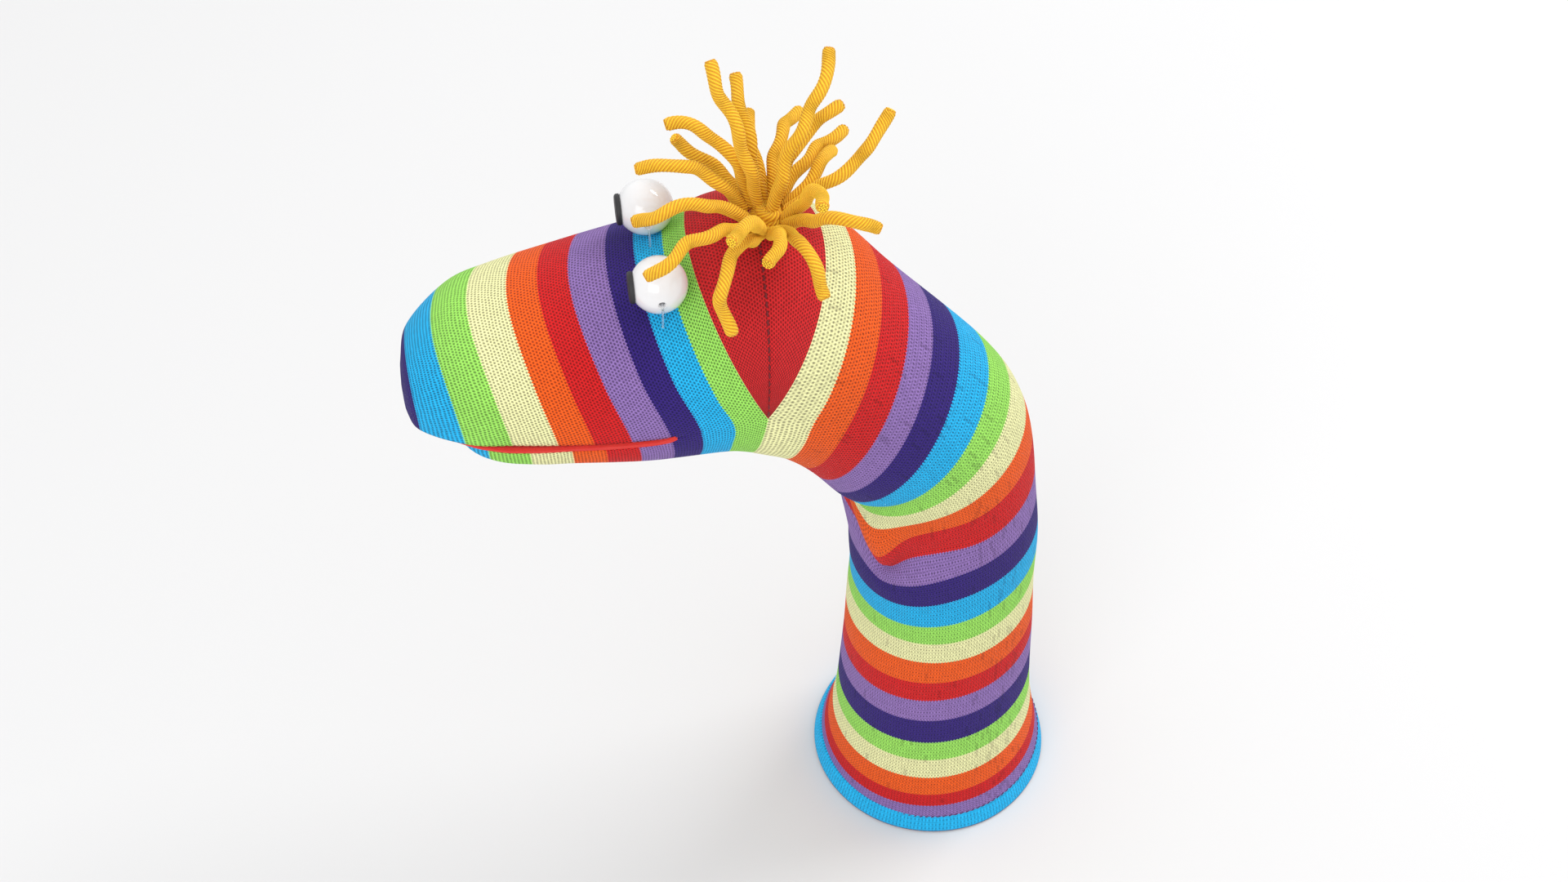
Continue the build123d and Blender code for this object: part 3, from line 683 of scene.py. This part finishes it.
# the seam runs up each side of the heel and stops short of the hair's knot
heel_th = np.radians(np.concatenate([np.linspace(3, 79, 21), np.linspace(101, 177, 21)]))
centre = gore(np.full_like(heel_th, 0.5), heel_th)
ahead = gore(np.full_like(heel_th, 0.5), heel_th + 0.01)
heel_out = centre - np.array(HEEL_CENTRE)
heel_out /= np.linalg.norm(heel_out, axis=1, keepdims=True)
heel_thread = stitch_row("heel_thread", centre + heel_out * 0.05, ahead - centre, 2.3, 0.4, SEAM_RED)
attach(heel_thread, "head")
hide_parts("heel_stitches")

# ---- hair ---------------------------------------------------------------------------------------
HAIR_D = 4.4
HAIR = {
    "hair_01": [(-4, -75, 342), (-5, -77, 353), (-7, -79, 365), (-11, -82, 375), (-16, -86, 385),
                (-23, -89, 393)],
    "hair_02": [(-6, -73, 342), (-9, -75, 350), (-14, -76, 358), (-20, -77, 366), (-27, -78, 372),
                (-34.5, -79, 376.5)],
    "hair_03": [(-8, -73, 341), (-14, -73, 346), (-21, -74, 350), (-28, -74, 352), (-35, -75, 353),
                (-41.5, -73, 353)],
    "hair_04": [(-5, -78, 342), (-8, -79, 350), (-11, -82, 358), (-14, -86, 364), (-18, -92, 368),
                (-20, -98, 370), (-21, -104, 369)],
    "hair_05": [(-8.5, -77.5, 341), (-14, -81, 343), (-18, -86, 346), (-22, -91, 350), (-25, -97, 353),
                (-26, -102, 358)],
    "hair_06": [(-3, -80.5, 342.5), (-4, -85, 351), (-4, -91, 359), (-5, -99, 364), (-6, -108, 365),
                (-7.5, -116.5, 363.5)],
    "hair_07": [(2, -80.5, 343), (4, -86, 350), (6, -93, 356), (8, -102, 358), (9, -112, 356),
                (7, -120.5, 351.5)],
    "hair_08": [(6, -79, 342), (12, -85, 348), (18, -92, 354), (24, -100, 358), (30, -109, 356),
                (33, -118, 351)],
    "hair_09": [(8, -76, 342), (14, -78, 350), (20, -79, 358), (26, -82, 364), (33, -86, 368),
                (40, -91, 370)],
    "hair_10": [(8, -76, 341), (16, -80, 346), (23, -85, 352), (31, -90, 354), (39, -94, 351),
                (44, -95, 343), (46.5, -92.5, 334.5)],
    "hair_11": [(9, -73, 341), (15, -71.5, 347), (21, -71, 353), (28, -72, 357), (35, -75, 360),
                (42, -78, 360)],
    "hair_12": [(8, -70, 341), (14, -68, 346), (21, -66, 351), (29, -64, 352), (37, -61, 348),
                (41.5, -58.5, 340.5)],
    "hair_13": [(6, -67, 341.5), (10, -63, 347), (15, -59, 352), (20, -53, 356), (24, -45, 357),
                (26, -37, 354.5)],
    "hair_14": [(3, -67, 342), (5, -62, 349), (8, -59, 357), (13, -58, 363), (20, -57, 367),
                (27.5, -57, 369)],
    "hair_15": [(-3, -66, 341), (-5, -60.5, 345.5), (-8.5, -55, 349), (-14, -51, 350.5), (-20, -48, 349),
                (-25, -46, 345)],
    "hair_16": [(0, -66, 342), (-1, -59, 347), (-3, -51, 351), (-6, -43, 354), (-9, -36, 358),
                (-13, -31, 363), (-18, -27, 368)],
    "hair_17": [(-7, -68, 341), (-12, -63, 344), (-18, -58, 346), (-24, -52, 347), (-30, -46, 346),
                (-35, -40, 345)],
    "hair_18": [(-3.5, -69.5, 343), (-6, -67, 351), (-10, -63, 358), (-14, -58, 364), (-18, -51, 368),
                (-21, -43, 370)],
    "hair_19": [(0, -71, 342), (-1, -69, 352), (-4, -65, 363), (-8, -60, 372), (-13, -54, 379),
                (-20, -49, 385), (-28, -46, 390)],
    "hair_20": [(-9, -70, 341), (-16, -68, 345.5), (-24, -66, 348.5), (-32, -63, 349), (-40, -59, 348),
                (-47, -54, 346)],
}


def spline_points(name, points):
    """The route's own smooth line: points along a NURBS spline with the route's points as control points."""
    curve = bpy.data.curves.new(name, "CURVE")
    curve.dimensions = "3D"
    curve.resolution_u = 16
    spline = curve.splines.new("NURBS")
    spline.points.add(len(points) - 1)
    for p, place in zip(spline.points, points):
        p.co = (place[0] * MM, place[1] * MM, place[2] * MM, 1.0)
    spline.order_u = 3
    spline.use_endpoint_u = True
    holder = bpy.data.objects.new(name, curve)
    bpy.context.scene.collection.objects.link(holder)
    line = bpy.data.meshes.new_from_object(holder)
    co = np.array([v.co for v in line.vertices], float) / MM
    bpy.data.objects.remove(holder)
    bpy.data.curves.remove(curve)
    bpy.data.meshes.remove(line)
    return co


def cord_mesh(name, line, diameter, material, rib=1.1, sides=32, step=0.3):
    """A ribbed cord along a line: spiral ribs round it, and a cut end of bunched yarn at each end."""
    gaps = np.linalg.norm(np.diff(line, axis=0), axis=1)
    run = np.concatenate([[0], np.cumsum(gaps)])
    total = run[-1]
    at = np.linspace(0, total, int(total / step))
    path = np.stack([np.interp(at, run, line[:, k]) for k in range(3)], -1)
    free = np.minimum(1.0, at / 18.0)[:, None]                  # the cord wanders once it has left the knot
    phase = len(name) + line[-1, 0] + line[-1, 1]
    path = path + free * np.stack([0.75 * np.sin(at / 2.7 + phase), 0.75 * np.sin(at / 3.4 + 2 * phase),
                                   0.5 * np.sin(at / 4.1 + 3 * phase)], -1)
    for _ in range(6):
        path[1:-1] = (path[:-2] + 2 * path[1:-1] + path[2:]) / 4
    tangent = np.gradient(path, axis=0)
    tangent /= np.linalg.norm(tangent, axis=1, keepdims=True)
    side = np.cross(tangent[0], [0.3, 0.5, 0.8])
    side /= np.linalg.norm(side)
    verts, faces, uvs = [], [], []
    radius = diameter / 2
    for i, (place, t) in enumerate(zip(path, tangent)):
        side = side - t * np.dot(side, t)
        side /= np.linalg.norm(side)
        other = np.cross(t, side)
        from_end = min(at[i], total - at[i])
        taper = 1.0 - 0.16 * max(0.0, 1 - from_end / 0.8) ** 2
        swell = 1.0 + 0.03 * math.sin(at[i] * 0.55 + len(name) + path[0][0])
        for k in range(sides):
            a = 2 * math.pi * k / sides
            ridge = 0.06 * math.cos(2 * math.pi * (at[i] / rib + STARTS * k / sides))
            r = radius * (1.03 + ridge) * taper * swell
            verts.append(place + (side * math.cos(a) + other * math.sin(a)) * r)
    rows = len(path)
    for i in range(rows - 1):
        for k in range(sides):
            m = (k + 1) % sides
            faces.append([i * sides + k, i * sides + m, (i + 1) * sides + m, (i + 1) * sides + k])
            uvs.extend([(k / sides, at[i] / rib), ((k + 1) / sides, at[i] / rib),
                        ((k + 1) / sides, at[i + 1] / rib), (k / sides, at[i + 1] / rib)])
    # cut ends: a flat face with the ends of the yarns standing on it
    for end, base, sign in ((0, 0, -1), (rows - 1, (rows - 1) * sides, 1)):
        place, t = path[end], tangent[end] * sign
        s1 = np.array(verts[base]) - place
        s1 -= t * np.dot(s1, t)
        full = np.linalg.norm(s1)
        s1 /= full
        s2 = np.cross(t, s1)
        tip = len(verts)
        verts.append(place + t * 0.1)
        for k in range(sides):
            m = (k + 1) % sides
            tri = [base + k, base + m, tip]
            faces.append(tri if sign > 0 else tri[::-1])
            uvs.extend([(0.0, 0.5)] * 3)
        yarns = [(0.72, 2 * math.pi * k / 9) for k in range(9)]
        yarns += [(0.3, 2 * math.pi * k / 4 + 0.4) for k in range(4)]
        for share, a in yarns:
            middle = place + (s1 * math.cos(a) + s2 * math.sin(a)) * full * share
            start = len(verts)
            levels = ((0.62, 0.0), (0.56, 0.34), (0.34, 0.52))
            for wide, high in levels:
                for k in range(8):
                    b = 2 * math.pi * k / 8
                    verts.append(middle + t * high + (s1 * math.cos(b) + s2 * math.sin(b)) * wide)
            top = len(verts)
            verts.append(middle + t * 0.56)
            for level in range(len(levels) - 1):
                for k in range(8):
                    m = (k + 1) % 8
                    low, high = start + level * 8, start + (level + 1) * 8
                    faces.append([low + k, low + m, high + m, high + k])
                    uvs.extend([(0.0, 0.3 + 0.3 * level), (0.0, 0.3 + 0.3 * level), (0.0, 0.6 + 0.4 * level),
                                (0.0, 0.6 + 0.4 * level)])
            for k in range(8):
                faces.append([top - 8 + k, top - 8 + (k + 1) % 8, top])
                uvs.extend([(0.0, 1.0)] * 3)
    return new_mesh(name, verts, faces, uvs, material), total


for node, points in HAIR.items():
    line = spline_points(node + "_line", points)
    piece, total = cord_mesh("cord_" + node[-2:], line, HAIR_D, CORD)
    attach(piece, "head")
    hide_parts(node)

# the knot that gathers the cords: cord wound into a low dome over their roots
TURNS, PER_TURN = 4, 40
KNOT_CENTRE_Y, KNOT_Z, KNOT_RISE, KNOT_R = -72, 338.4, 5.6, 6.3
a = np.linspace(0, TURNS * 2 * math.pi, TURNS * PER_TURN)
share = a / a[-1]
winding = KNOT_R * (1 - share**1.15) + 0.4
wound = np.stack([winding * np.cos(a), KNOT_CENTRE_Y + winding * np.sin(a), KNOT_Z + KNOT_RISE * share], -1)
knot, _ = cord_mesh("hair_knot", wound, 4.0, CORD)
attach(knot, "head")
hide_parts("hair_tie")

# ---- carried-over parts -----------------------------------------------------------------------
WHITE_BEAD = bead("white_bead")
BLACK_DISC = pupil_paint("black_disc")
CLEAR = nylon("clear_nylon")
BOARD = board("board")
CARRIED_OVER = {"eyeball_left": WHITE_BEAD, "eyeball_right": WHITE_BEAD, "pupil_left": BLACK_DISC,
                "pupil_right": BLACK_DISC, "eye_thread": CLEAR, "mouth_card_upper": BOARD,
                "mouth_card_lower": BOARD}
for node, material in CARRIED_OVER.items():
    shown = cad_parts[node]
    shown.data.materials.clear()
    shown.data.materials.append(material)

# ---- floor and light --------------------------------------------------------------------------
floor_mesh = bpy.data.meshes.new("floor")
REACH = 6.0
FLOOR_Z = -0.0002
corners = [(x * REACH, y * REACH, FLOOR_Z) for x, y in ((-1, -1), (1, -1), (1, 1), (-1, 1))]
floor_mesh.from_pydata(corners, [], [(0, 1, 2, 3)])
floor = bpy.data.objects.new("floor", floor_mesh)
bpy.context.scene.collection.objects.link(floor)
paper = Nodes("paper", (0.70, 0.70, 0.70), 0.9)
paper_tone = paper.mix(paper.noise(3.0), (0.685, 0.685, 0.688), (0.695, 0.695, 0.698))
paper.link(paper_tone, paper.shader.inputs["Base Color"])
floor_mesh.materials.append(paper.material)

world = bpy.data.worlds.new("studio")
bpy.context.scene.world = world
world.use_nodes = True
world.node_tree.nodes["Background"].inputs["Color"].default_value = (1.0, 1.0, 1.0, 1)
world.node_tree.nodes["Background"].inputs["Strength"].default_value = 1.0


def softbox(name, at, target, size, power):
    data = bpy.data.lights.new(name, "AREA")
    data.shape = "RECTANGLE"
    data.size, data.size_y = size
    data.energy = power
    light = bpy.data.objects.new(name, data)
    light.location = at
    light.rotation_mode = "QUATERNION"
    light.rotation_quaternion = (Vector(target) - Vector(at)).to_track_quat("-Z", "Y")
    bpy.context.scene.collection.objects.link(light)


softbox("key", (-0.5, 1.0, 1.7), (0, -0.05, 0.2), (0.8, 0.7), 15.5)
softbox("fill", (1.5, -0.9, 1.2), (0, -0.05, 0.2), (1.4, 1.0), 11.0)

# ---- last update of the scene -----------------------------------------------------------------
bpy.context.view_layer.update()
